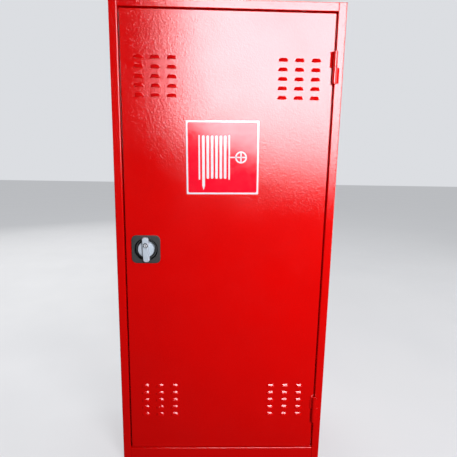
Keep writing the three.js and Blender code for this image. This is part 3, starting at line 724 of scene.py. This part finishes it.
def sign():
    """The sticker. Places on it are shares of its side, from its top left corner."""
    low, high = box("sign_plate")
    side = high.x - low.x
    centre = Vector(((low.x + high.x) / 2, (low.z + high.z) / 2))

    def spot(u, v):
        return Vector((low.x + u * side, high.z - v * side))

    def bar(start, end, across):
        return [start - across, end - across, end + across, start + across]

    skew = Matrix.Rotation(SIGN_SKEW, 2)
    edge = rectangle(side, side, 2, centre)
    marks = [[edge, rectangle(side - 8, side - 8, 4.5, centre)]]
    # The hose: thin end plates, five full loops and one whose end hangs down to a point.
    marks += [[stadium(spot(u, 0.2), spot(u, 0.787), 0.0105 * side)] for u in (0.179, 0.592)]
    first = 0.2365
    loops = [first + 0.0598 * k for k in range(1, 6)]
    marks += [[stadium(spot(u, 0.215), spot(u, 0.767), 0.018 * side)] for u in loops]
    hose = 0.019 * side
    tip = spot(first, 0.94)
    taper = tip.y + 0.06 * side
    point = [Vector((tip.x - hose, taper)), tip, Vector((tip.x + hose, taper))]
    marks.append([arc(spot(first, 0.215), hose, 0, pi, 12) + point])
    # The handwheel and its stem.
    level = 0.491
    hub = spot(0.755, level)
    outer, inner, half_bar = 0.082 * side, 0.061 * side, 0.0085 * side
    marks.append([circle(hub, outer), circle(hub, inner)])
    spoke = inner + 1
    for u, v in ((1, 0), (0, 1)):
        reach = Vector((u, v)) * spoke
        marks.append([bar(hub - reach, hub + reach, Vector((v, u)) * half_bar)])
    marks.append([bar(spot(0.598, level), hub - Vector((spoke, 0)), Vector((0, half_bar)))])

    def film_piece(outlines, depth, back, bevel):
        outlines = [[skew @ (Vector(p) - centre) + centre for p in outline] for outline in outlines]
        return plate("sign", outlines, depth, X, Z, (0, back, 0), bevel)

    ground = film_piece([edge], high.y - low.y - RED_LOWER, high.y, 0.1)
    red_faces = len(ground.data.polygons)
    white_pieces = [film_piece(mark, WHITE_FILM, low.y + RED_LOWER, 0.03) for mark in marks]
    obj = smooth(joined("sign", ground, *white_pieces))
    obj.data.materials.append(film.material)
    obj.data.materials.append(white.material)
    for index, face in enumerate(obj.data.polygons):
        face.material_index = int(index >= red_faces)
    use(obj, "sign_plate", film)


BARREL = 5.5  # radius of a hinge's barrel
LEAF_TIP = 1.1  # thickness of its leaf at the end
LEAF_LEAN = radians(24)
PIN_HOLE = 3.1


def hinge(name):
    pin_low, pin_high = box(f"{name}_hinge_pin")
    pin_x = (pin_low.x + pin_high.x) / 2
    for part, hand in (("door", -1), ("frame", 1)):
        node = f"{name}_hinge_{part}_knuckle"
        low, high = box(node)
        axis = Vector((pin_x, low.y + BARREL))
        # A rolled leaf: its front slopes from the barrel down to a thin end, and its back lies on the sheet.
        reach, lie = abs((low.x if hand < 0 else high.x) - axis.x), high.y - axis.y
        tip = lie - LEAF_TIP
        off = reach * sin(LEAF_LEAN) - tip * cos(LEAF_LEAN)  # from the barrel's axis to the leaf's front
        meet = LEAF_LEAN - asin(off / BARREL)
        back = asin(min(1, lie / BARREL))
        round_part = arc((0, 0), BARREL, back, 2 * pi + meet, 48)
        leaf_part = rounded([round_part[-1], Vector((reach, tip)), Vector((reach, lie)), round_part[0]],
                            [0, 0.4, 0.3, 0], False)
        section = [Vector((axis.x + hand * p.x, axis.y + p.y)) for p in round_part + leaf_part[1:-1]]
        if hand < 0:
            section.reverse()
        obj = plate(node, [section], high.z - low.z, X, Y, (0, 0, low.z), 0.45)
        top = high.z + 1 if part == "frame" else pin_high.z + 0.6  # the door's knuckle is closed at the top
        use(combine(obj, cylinder(PIN_HOLE, low.z - 1, top, "z", (*axis, 0), 32)), node, red)
    centre = (pin_x, (pin_low.y + pin_high.y) / 2, 0)
    flange = pin_low.z + 2
    profile = [(0, pin_low.z), (4.6, pin_low.z), (4.6, flange), (3, flange), (3, pin_high.z), (0, pin_high.z)]
    use(turned("pin", profile, "z", centre, 40, 0.5), f"{name}_hinge_pin", red)


# -------- lock

RECESS = 13  # depth of the finger recess
RECESS_RADIUS = 28.5
RING_IN, RING_OUT, RING_HIGH = 22.3, 26.2, 7  # the ring that stands on the recess's floor
SPINDLE_HOLE = 5.1
NUT_BORE = 30.5
NUT_NOTCHES = 12
HANDLE_SLACK = radians(2.5)  # the handle stands a little off upright
BAR_WIDTH, BAR_DEPTH = 17.0, 7.8
BAR_LEVELS = [(0.0, 2.6), (0.5, 1.5), (1.4, 0.7), (2.8, 0.25), (4.6, 0.0), (BAR_DEPTH, 0.0)]  # (depth, shrink)


def escutcheon():
    low, high = box("lock_escutcheon")
    front, back = low.y, high.y
    axis = axis_of("lock_escutcheon")
    floor = front + RECESS
    square = rectangle(high.x - low.x, high.z - low.z, 14, (axis[0], axis[2]))
    obj = plate("plate", [square], 3.2, X, Z, (0, front + 3.2, 0), 1.3)
    cup = [(0, front + 1), (30.2, front + 1), (30.2, floor + 2), (9, floor + 2), (9, back), (0, back)]
    obj = combine(obj, turned("cup", cup, "y", axis, ROUND, 0), "UNION")
    crest = floor - RING_HIGH
    recess = [(0, front - 1), (30, front - 1), (29, front + 0.3), (RECESS_RADIUS, front + 1.2),
              (RECESS_RADIUS, floor), (RING_OUT, floor), (26.1, crest + 1), (25.6, crest), (22.9, crest),
              (22.4, crest + 1), (RING_IN, floor), (0, floor)]
    obj = combine(obj, turned("tool", recess, "y", axis, ROUND, 0.35))
    obj = combine(obj, cylinder(SPINDLE_HOLE, floor - 2, back + 2, "y", axis, 40), angle=35)

    def in_shadow(place):
        """The recess, but not the ring in it: the faces that get painted shade."""
        away = hypot(place.x - axis[0], place.z - axis[2])
        on_ring = RING_IN - 0.2 < away < RING_OUT + 0.1 and place.y < crest + 2
        return away < RECESS_RADIUS + 0.2 and place.y > front + 1 and not on_ring

    # Painted shade: the recess is made darker than the plate around it.
    use_two(obj, "lock_escutcheon", black, painted_shade, in_shadow)
    low, high = box("lock_retaining_nut")
    outer = (high.x - low.x) / 2
    profile = [(NUT_BORE, low.y), (outer, low.y), (outer, high.y), (NUT_BORE, high.y)]
    nut = turned("nut", profile, "y", axis, ROUND, 0.6)
    for k in range(NUT_NOTCHES):
        angle = 2 * pi * k / NUT_NOTCHES
        place = (axis[0] + (outer + 1) * cos(angle), 0, axis[2] + (outer + 1) * sin(angle))
        nut = combine(nut, cylinder(3.2, low.y - 1, high.y + 1, "y", place, 20))
    use(nut, "lock_retaining_nut", black)


def handle_bar(cx, cz, top, length):
    """A narrow-waisted bar with a rounded front edge, turned by the handle's slack."""
    slack = Matrix.Rotation(HANDLE_SLACK, 2)
    points, faces, rings = [], [], []
    for depth, shrink in BAR_LEVELS:
        ring = []
        width = BAR_WIDTH - 2 * shrink
        for point in rectangle(width, length - 2 * shrink, width / 2 - 0.3, (cx, cz), 10):
            share = (point.y - cz) / (length / 2)
            waist = 1 - 0.1 * (1 - share * share)
            ring.append(len(points))
            at = slack @ Vector(((point.x - cx) * waist, point.y - cz))
            points.append(Vector((cx + at.x, top + depth, cz + at.y)))
        rings.append(ring)
    for a, b in zip(rings, rings[1:]):
        faces += band(a, b)
    faces += [rings[0], rings[-1][::-1]]
    return from_lists("bar", points, faces, 50)


def lock_handle():
    low, high = box("latch_handle")
    axis = axis_of("latch_handle")
    top, bar_back, base = low.y, low.y + BAR_DEPTH, high.y
    profile = [(0, bar_back - 2.2), (12, bar_back - 2.1), (18.6, bar_back - 1.4), (20, bar_back), (20, base), (0, base)]
    obj = turned("disc", profile, "y", axis, ROUND, 0.8)
    obj = combine(obj, handle_bar(axis[0], axis[2], top, high.z - low.z), "UNION")
    plug_low, plug_high = box("lock_cylinder")
    key = axis_of("lock_cylinder")
    end = plug_high.y + 0.1
    hole = [(0, top - 1), (6.9, top - 1), (6.4, top + 0.3), (6.0, top + 2.4), (6.0, end), (0, end)]
    obj = combine(obj, turned("tool", hole, "y", key, 48, 0))
    socket = box("latch_spindle")[0].y - 0.2
    obj = combine(obj, cylinder(SPINDLE_HOLE, socket, base + 2, "y", axis, 40), angle=40)
    use(obj, "latch_handle", grey)

    front = plug_low.y
    step = front + 2.5  # a groove round the plug's face goes down to here
    profile = [(0, front), (4, front), (4.2, front + 0.3), (4.2, step), (5.8, step), (5.8, plug_high.y),
               (0, plug_high.y)]
    plug = turned("plug", profile, "y", key, 48, 0.1)
    slot = rectangle(1.4, 6, 0.4, (key[0], key[2]))
    plug = combine(plug, plate("tool", [slot], 9, X, Z, (0, front + 8.5, 0), 0.01))
    # Painted shade on the plug's groove and keyway, behind its front face.
    use_two(plug, "lock_cylinder", plug_face, painted_shade, lambda place: place.y > front + 0.4)


def latch_back():
    """What is behind the door: spindle, cam and cam screw."""
    low, high = box("latch_spindle")
    axis = axis_of("latch_spindle")
    cam_low, cam_high = box("latch_cam")
    start, collar, bore = box("lock_escutcheon")[1].y + SEAM, cam_low.y - SEAM, high.y - 10
    shaft = [(0, low.y), (5, low.y), (5, start), (8, start), (8, collar), (5, collar), (5, high.y), (2.6, high.y),
             (2.6, bore), (0, bore)]
    use(turned("spindle", shaft, "y", axis, 48, 0.4), "latch_spindle", steel)
    round_eye = arc((axis[0], axis[2]), 11, 0.25, pi - 0.25, 24)
    round_end = arc((axis[0], cam_low.z + 8), 8, pi, 2 * pi, 20)
    outlines = [round_eye + round_end, circle((axis[0], axis[2]), SPINDLE_HOLE)]
    cam = plate("cam", outlines, cam_high.y - cam_low.y, X, Z, (0, cam_high.y, 0), 0.4)
    use(cam, "latch_cam", steel)
    low, high = box("latch_cam_screw")
    head = cam_high.y + SEAM
    profile = [(0, low.y), (2.5, low.y), (2.5, head), (8, head), (8, head + 1.2), (0, head + 1.2)]
    washer = turned("washer", profile, "y", axis, 40, 0.2)
    hexed = hexagon("head", 10, head + 1, high.y, "y", axis)
    use(combine(washer, hexed, "UNION"), "latch_cam_screw", steel)


# -------- hose cradle

ROD_HOLE = 4.1
BRACKET = 3  # thickness of the brackets' steel


def cradle():
    low, high = box("cradle_back_plate")
    width, height = high.x - low.x, high.z - low.z
    corner = 60
    outline = [Vector(p) for p in ((0, 0), (width, 0), (width, height))]
    outline += arc((corner, height - corner), corner, pi / 2, pi, 24)
    centre = Vector((width / 2 - 5, height / 2 + 5))
    holes = [circle(centre, 45, 64)]
    for k in range(4):
        slant = pi / 4 + k * pi / 2
        along = Vector((cos(slant), sin(slant)))
        holes.append(stadium(centre + along * 72, centre + along * 118, 12))
    at = (low.x, high.y, low.z)
    use(plate("back", [outline, *holes], high.y - low.y, X, Z, at, 0.4), "cradle_back_plate", red)

    low, high = box("cradle_tray")
    section = folded([(high.y, low.z), (low.y, low.z), (low.y, high.z)], THICK)
    use(plate("tray", [section], high.x - low.x, Y, Z, (low.x, 0, 0)), "cradle_tray", red)

    low, high = box("cradle_left_cheek")
    depth, tall, corner = high.y - low.y, high.z - low.z, 25
    outline = [Vector((0, 0)), Vector((depth, 0))]
    outline += arc((depth - corner, tall - corner), corner, 0, pi / 2) + arc(
        (corner, tall - corner), corner, pi / 2, pi)
    use(plate("cheek", [outline], high.x - low.x, Y, Z, low, 0.4), "cradle_left_cheek", red)
    keep("cradle_spine", red, 0.4)

    low, high = box("cradle_front_bar")
    y = (low.y + high.y) / 2
    level, left, bend = high.z - 4, low.x + 4, 40
    along = (k / 24 for k in range(25))
    curve = [(left + bend * (1 - t) ** 2, y, level - bend * t * t) for t in along]
    points = [(high.x, y, level), *curve, (left, y, low.z)]
    use(tube("bar", points, 3.8), "cradle_front_bar", steel)

    pivot = middle("cradle_pivot_rod")
    for side in ("top", "bottom"):
        node = f"cradle_{side}_sleeve"
        low, high = box(node)
        tab = [(low.x, pivot.y), (low.x + 3, pivot.y), (low.x + 3, high.y), (low.x, high.y)]
        barrel = plate("barrel", [circle((pivot.x, pivot.y), 7, 64)], high.z - low.z, X, Y, (0, 0, low.z), 0.6)
        leaf = plate("leaf", [rounded([Vector(p) for p in tab], [0, 0, 1, 1])], high.z - low.z, X, Y,
                     (0, 0, low.z), 0.4)
        sleeve = combine(barrel, leaf, "UNION")
        bore = cylinder(ROD_HOLE, low.z - 1, high.z + 1, "z", (pivot.x, pivot.y, 0), 40)
        use(combine(sleeve, bore), node, red)

        node = f"cradle_{side}_bracket"
        low, high = box(node)
        wall, half = high.x, 13
        tongue = arc((pivot.x, pivot.y), half, pi / 2, 1.5 * pi, 32)
        tongue += [Vector((wall, pivot.y - half)), Vector((wall, pivot.y + half))]
        obj = plate("tongue", [tongue, circle((pivot.x, pivot.y), ROD_HOLE)], BRACKET, X, Y, (0, 0, low.z), 0.4)
        square = rectangle(40, high.z - low.z, 4, (pivot.y, (low.z + high.z) / 2))
        face = plate("face", [square], BRACKET, Y, Z, (wall - BRACKET, 0, 0), 0.4)
        use(combine(obj, face, "UNION"), node, red)
    low, high = box("cradle_pivot_rod")
    profile = [(0, low.z), (7, low.z), (7, low.z + 4.6), (4, low.z + 4.6), (4, high.z), (0, high.z)]
    use(turned("rod", profile, "z", (pivot.x, pivot.y, 0), 40, 0.6), "cradle_pivot_rod", steel)


# -------- valve

THREAD_END = -238  # where the inlet's thread stops, beside the outer locknut
STEM_HOLE = 7.1
WHEEL_HOLE = 5.2
HUB = 8  # half the length of the handwheel's hub
TUBE = 6.4  # radius of its rim's section


def thread(start, end, crest, depth, pitch):
    """Profile points of ring-shaped thread crests between two places."""
    root = crest - depth
    points = []
    for k in range(int((end - start) / pitch)):
        at = start + k * pitch
        points += [(root, at + 0.1 * pitch), (crest, at + 0.45 * pitch), (crest, at + 0.6 * pitch),
                   (root, at + 0.95 * pitch)]
    return points


def pipework():
    low, high = box("inlet_nipple")
    centre = (0, BORE.y, BORE.z)
    radius = (high.z - low.z) / 2
    profile = [(26, low.x), (radius - 1.5, low.x)]
    profile += thread(low.x + 1, THREAD_END, radius, 1.1, 2.3)
    profile += [(radius, THREAD_END + 2), (radius, high.x), (26, high.x)]
    use(turned("nipple", profile, "x", centre, ROUND, 0.12, 50), "inlet_nipple", steel)
    for node in ("outer_locknut", "inner_locknut"):
        low, high = box(node)
        use(hexagon(node, high.y - low.y, low.x, high.x, "x", centre, 30.3), node, steel)


def valve_body():
    """Body, bonnet and gland nut, with profiles that are measured along the pipe from above the outlet."""
    x, y, z = centre = tuple(VALVE)
    bottom = box("valve_body")[0].z
    profile = [(0, -58), (36, -58), (37, -56), (37, -43), (33.5, -37), (36, -26), (39.6, -9), (39.6, 6), (37, 18),
               (33, 28), (34, 32), (34, 39.7), (0, 39.7)]
    shell = turned("shell", profile, "x", centre, ROUND, 2)
    neck = cylinder(27.9, bottom, z - 10, "z", (x, y, 0))
    collar = cylinder(31.9, z - 52, z - 5, "z", (x, y, 0))
    body = cast(joined("body", shell, neck, collar), 1.0, 6)
    profile = [(0, -22), (30, -22), (33, -14), (33, 10), (24, 22), (24, 45), (0, 45)]
    chamber = turned("tool", profile, "x", centre, 48, 0.5)
    profile = [(0, -60), (30.2, -60), (30.2, -42), (25, -42), (25, -34), (20, -34), (20, -21), (0, -21)]
    inlet = turned("tool", profile, "x", centre, 48, 0.3)
    for tool in (chamber, inlet, cylinder(24, bottom - 2, z - 15, "z", (x, y, 0), 48)):
        body = combine(body, tool, angle=50)
    use(body, "valve_body", brass)

    profile = [(0, 20), (23.7, 20), (23.7, 41), (24, 51), (21, 55), (15, 68), (11, 69), (11, 83), (0, 83)]
    bonnet = turned("bonnet", profile, "x", centre, ROUND, 0.8)
    bonnet = combine(bonnet, hexagon("hex", 62, 40, 52, "x", centre), "UNION")
    use(combine(bonnet, cylinder(STEM_HOLE, 10, 90, "x", centre, 40)), "valve_bonnet", brass)
    gland = hexagon("gland", 30, 73, 90, "x", centre)
    gland = combine(gland, cylinder(11.3, 72, 83.3, "x", centre, 40))
    use(combine(gland, cylinder(STEM_HOLE, 80, 95, "x", centre, 40)), "gland_nut", brass)


def outlet_coupling():
    x, y, z = VALVE
    low, high = box("outlet_coupling")
    face = low.z + 13  # the sealing face; the claws hang below it
    collar, end, top = face + 8, face + 16, z - 65
    profile = [(33, face), (38, face), (38, collar), (41, collar), (41, end), (38, end), (38, high.z),
               (28.3, high.z), (28.3, top), (24, top), (24, face + 5), (33, face + 5)]
    body = turned("coupling", profile, "z", (x, y, 0), ROUND, 0.5)
    for half in (0, pi):
        claw = arc((x, y), 47, half - 0.5, half + 0.5) + arc((x, y), 37, half + 0.5, half - 0.5)
        hook = arc((x, y), 47, half + 0.1, half + 0.5) + arc((x, y), 33, half + 0.5, half + 0.1)
        body = combine(body, plate("claw", [claw], 22, X, Y, (0, 0, face - 8), 1), "UNION")
        body = combine(body, plate("hook", [hook], 5, X, Y, (0, 0, face - 13), 1), "UNION")
    use(body, "outlet_coupling", aluminium)
    low, high = box("coupling_gasket")
    ring = [(24.5, low.z + 1.5), (26, low.z), (31, low.z), (32.7, low.z + 1.5), (32.7, high.z), (24.5, high.z)]
    use(turned("gasket", ring, "z", (x, y, 0), ROUND, 0.8), "coupling_gasket", rubber)


def valve_train():
    """The moving pieces of the valve, on the pipe's axis: seal, disc, stem, handwheel and its nut."""
    x, y, z = VALVE
    centre = (0, y, z)
    low, high = box("disc_seal")
    use(turned("seal", [(0, low.x), (23.5, low.x), (23.5, high.x), (0, high.x)], "x", centre, ROUND, 0.6),
        "disc_seal", rubber)
    low, high = box("valve_disc")
    socket = box("valve_stem")[0].x - SEAM
    profile = [(0, low.x), (24, low.x), (24, low.x + 7), (12, low.x + 9), (12, high.x), (STEM_HOLE, high.x),
               (STEM_HOLE, socket), (0, socket)]
    use(turned("disc", profile, "x", centre, ROUND, 0.5), "valve_disc", brass)
    low, high = box("valve_stem")
    wheel_low, wheel_high = box("handwheel")
    mid = (wheel_low.x + wheel_high.x) / 2
    shoulder = mid - HUB - SEAM
    nut_low, nut_high = box("handwheel_nut")
    profile = [(0, low.x), (7, low.x), (7, shoulder), (5, shoulder), (5, nut_low.x)]
    profile += thread(nut_low.x, high.x - 1.5, 5, 0.5, 1.5) + [(4, high.x), (0, high.x)]
    use(turned("stem", profile, "x", centre, 48, 0.15, 45), "valve_stem", steel)
    rim = (wheel_high.z - wheel_low.z) / 2 - TUBE - 0.1
    parts = [turned("rim", circle((rim, mid), TUBE, 24), "x", centre, 96, 0)]
    hub = [(0, mid - HUB), (13, mid - HUB), (11.5, mid + HUB), (0, mid + HUB)]
    parts.append(turned("hub", hub, "x", centre, 48, 1))
    at = Vector((mid, y, z))
    for k in range(4):
        angle = radians(90 * k + 45)
        ray = Vector((0, sin(-angle), cos(angle)))
        parts.append(tube("spoke", [at + ray * 8, at + ray * (rim - 1)], 4.6))
    wheel = cast(joined("wheel", *parts), 0.9, 5)
    wheel = combine(wheel, cylinder(WHEEL_HOLE, mid - 20, mid + 20, "x", centre, 40), angle=50)
    use(wheel, "handwheel", enamel)
    use(hexagon("wheel_nut", 17, nut_low.x, nut_high.x, "x", centre, WHEEL_HOLE), "handwheel_nut", steel)


cabinet_body()
shelf()
use(door_panel(), "door_panel", red)
keep("door_stiffener", red, 0.5)
sign()
for name in ("top", "bottom"):
    hinge(name)
escutcheon()
lock_handle()
latch_back()
cradle()
pipework()
valve_body()
outlet_coupling()
valve_train()

# -------- stage, light and camera


def flat(name, corners, shade):
    """A flat surface with corners in metres. It lights nothing by diffuse light."""
    mesh = bpy.data.meshes.new(name)
    mesh.from_pydata(corners, [], [range(len(corners))])
    mesh.materials.append(shade.material)
    obj = link(name, mesh)
    obj.visible_diffuse = False
    return obj


FAR = 12  # metres from the middle of the floor to its edges
floor_shade = Shade("floor", (0.22, 0.22, 0.22), 0.6)
floor_shade.tint(floor_shade.noise(1.2, 3), (0.19, 0.19, 0.2), 0.5)
floor_shade.vary(floor_shade.noise(3, 3), 0.08)
floor_shade.set(Emission_Color=(0.94, 0.96, 1, 1), Emission_Strength=0.5)
floor = flat("floor", [(-FAR, -FAR, 0), (FAR, -FAR, 0), (FAR, FAR, 0), (-FAR, FAR, 0)], floor_shade)
floor.visible_glossy = False


def area_light(name, place, target, size, power, color):
    """A rectangular light that the camera doesn't see. Places and sizes are in metres and power is in watts."""
    light = bpy.data.lights.new(name, "AREA")
    light.shape = "RECTANGLE"
    light.size, light.size_y = size
    light.energy = power
    light.color = color
    obj = link(name, light)
    facing = (Vector(target) - Vector(place)).to_track_quat("-Z", "Y").to_matrix().to_4x4()
    obj.matrix_world = Matrix.Translation(place) @ facing
    obj.visible_camera = False
    return obj


# A bright window behind the camera and to its right, which the upper right of the door mirrors.
WINDOW_Y = -2.6
WINDOW = [(-0.36, 2.45), (-0.36, 1.12), (-0.08, 0.9), (0.34, 0.76), (1.42, 0.68), (1.42, 2.45)]
glow = Shade("window", (0, 0, 0), 1)
glow.set(Emission_Color=(0.98, 0.94, 1, 1))
height = glow.node("SeparateXYZ")
glow.wire(glow.place, height.inputs[0])
glow.wire(glow.spread(height.outputs["Z"], 5.7, 10.8, 0.76, 1.36), glow.shader.inputs["Emission Strength"])
pane = flat("window", [(x, WINDOW_Y, z) for x, z in WINDOW], glow)
pane.visible_camera = False
front = area_light("front", (0.65, -1.4, 1.0), (0, -0.1, 0.62), (0.6, 0.6), 33.5, (1, 0.97, 0.99))
front.visible_glossy = False
area_light("doorway", (3.0, 0.7, 1.2), (0, 0, 1.0), (1.4, 2.4), 45, (1, 0.97, 0.98))
area_light("ceiling", (0.2, 1.2, 3.4), (0, 0.3, 0), (2.4, 2.0), 55, (1, 1, 1))
area_light("rear", (-1.8, 3.2, 1.8), (0, 0, 0.6), (2.4, 2.2), 45, (1, 0.98, 0.96))
area_light("side", (-3.0, 0.8, 1.6), (0, 0, 0.7), (2.2, 2.4), 36, (0.96, 0.98, 1))

scene = bpy.context.scene
scene.world = bpy.data.worlds.new("world")
scene.world.use_nodes = True
tree = scene.world.node_tree
sky = tree.nodes["Background"]
sky.inputs["Color"].default_value = (0.94, 0.96, 1, 1)
# Dim to light by, paler where the camera sees it, and darker in reflections.
rays = tree.nodes.new("ShaderNodeLightPath")
previous = None
for output, change in (("Is Camera Ray", 0.63), ("Is Glossy Ray", -0.11)):
    step = tree.nodes.new("ShaderNodeMath")
    step.operation = "MULTIPLY_ADD"
    tree.links.new(rays.outputs[output], step.inputs[0])
    step.inputs[1].default_value = change
    step.inputs[2].default_value = 0.13
    if previous:
        tree.links.new(previous.outputs[0], step.inputs[2])
    previous = step
tree.links.new(previous.outputs[0], sky.inputs["Strength"])
scene.view_settings.view_transform = "Standard"

PICTURE = 457  # the photo's width in pixels
FOCAL = 386.8  # focal length in the same pixels
SENSOR = 36
PITCH, YAW, ROLL = (radians(a) for a in (-10.27, 1.6, 0.96))
CAMERA_X, CAMERA_AWAY, CAMERA_Z = -0.018, 0.945, 0.826  # metres; away from the cabinet's front
ahead = Vector((sin(YAW) * cos(PITCH), cos(YAW) * cos(PITCH), sin(PITCH)))
right = Vector((cos(YAW), -sin(YAW), 0))
up = right.cross(ahead)
across = right * cos(ROLL) + up * sin(ROLL)
upward = up * cos(ROLL) - right * sin(ROLL)
camera = link("camera", bpy.data.cameras.new("camera"))
camera.data.sensor_width = SENSOR
camera.data.lens = SENSOR * FOCAL / PICTURE
camera.data.clip_start = 0.01
turn = Matrix((across, upward, -ahead)).transposed().to_4x4()
camera.matrix_world = Matrix.Translation((CAMERA_X, FRONT * MM - CAMERA_AWAY, CAMERA_Z)) @ turn
scene.camera = camera

bpy.context.view_layer.update()
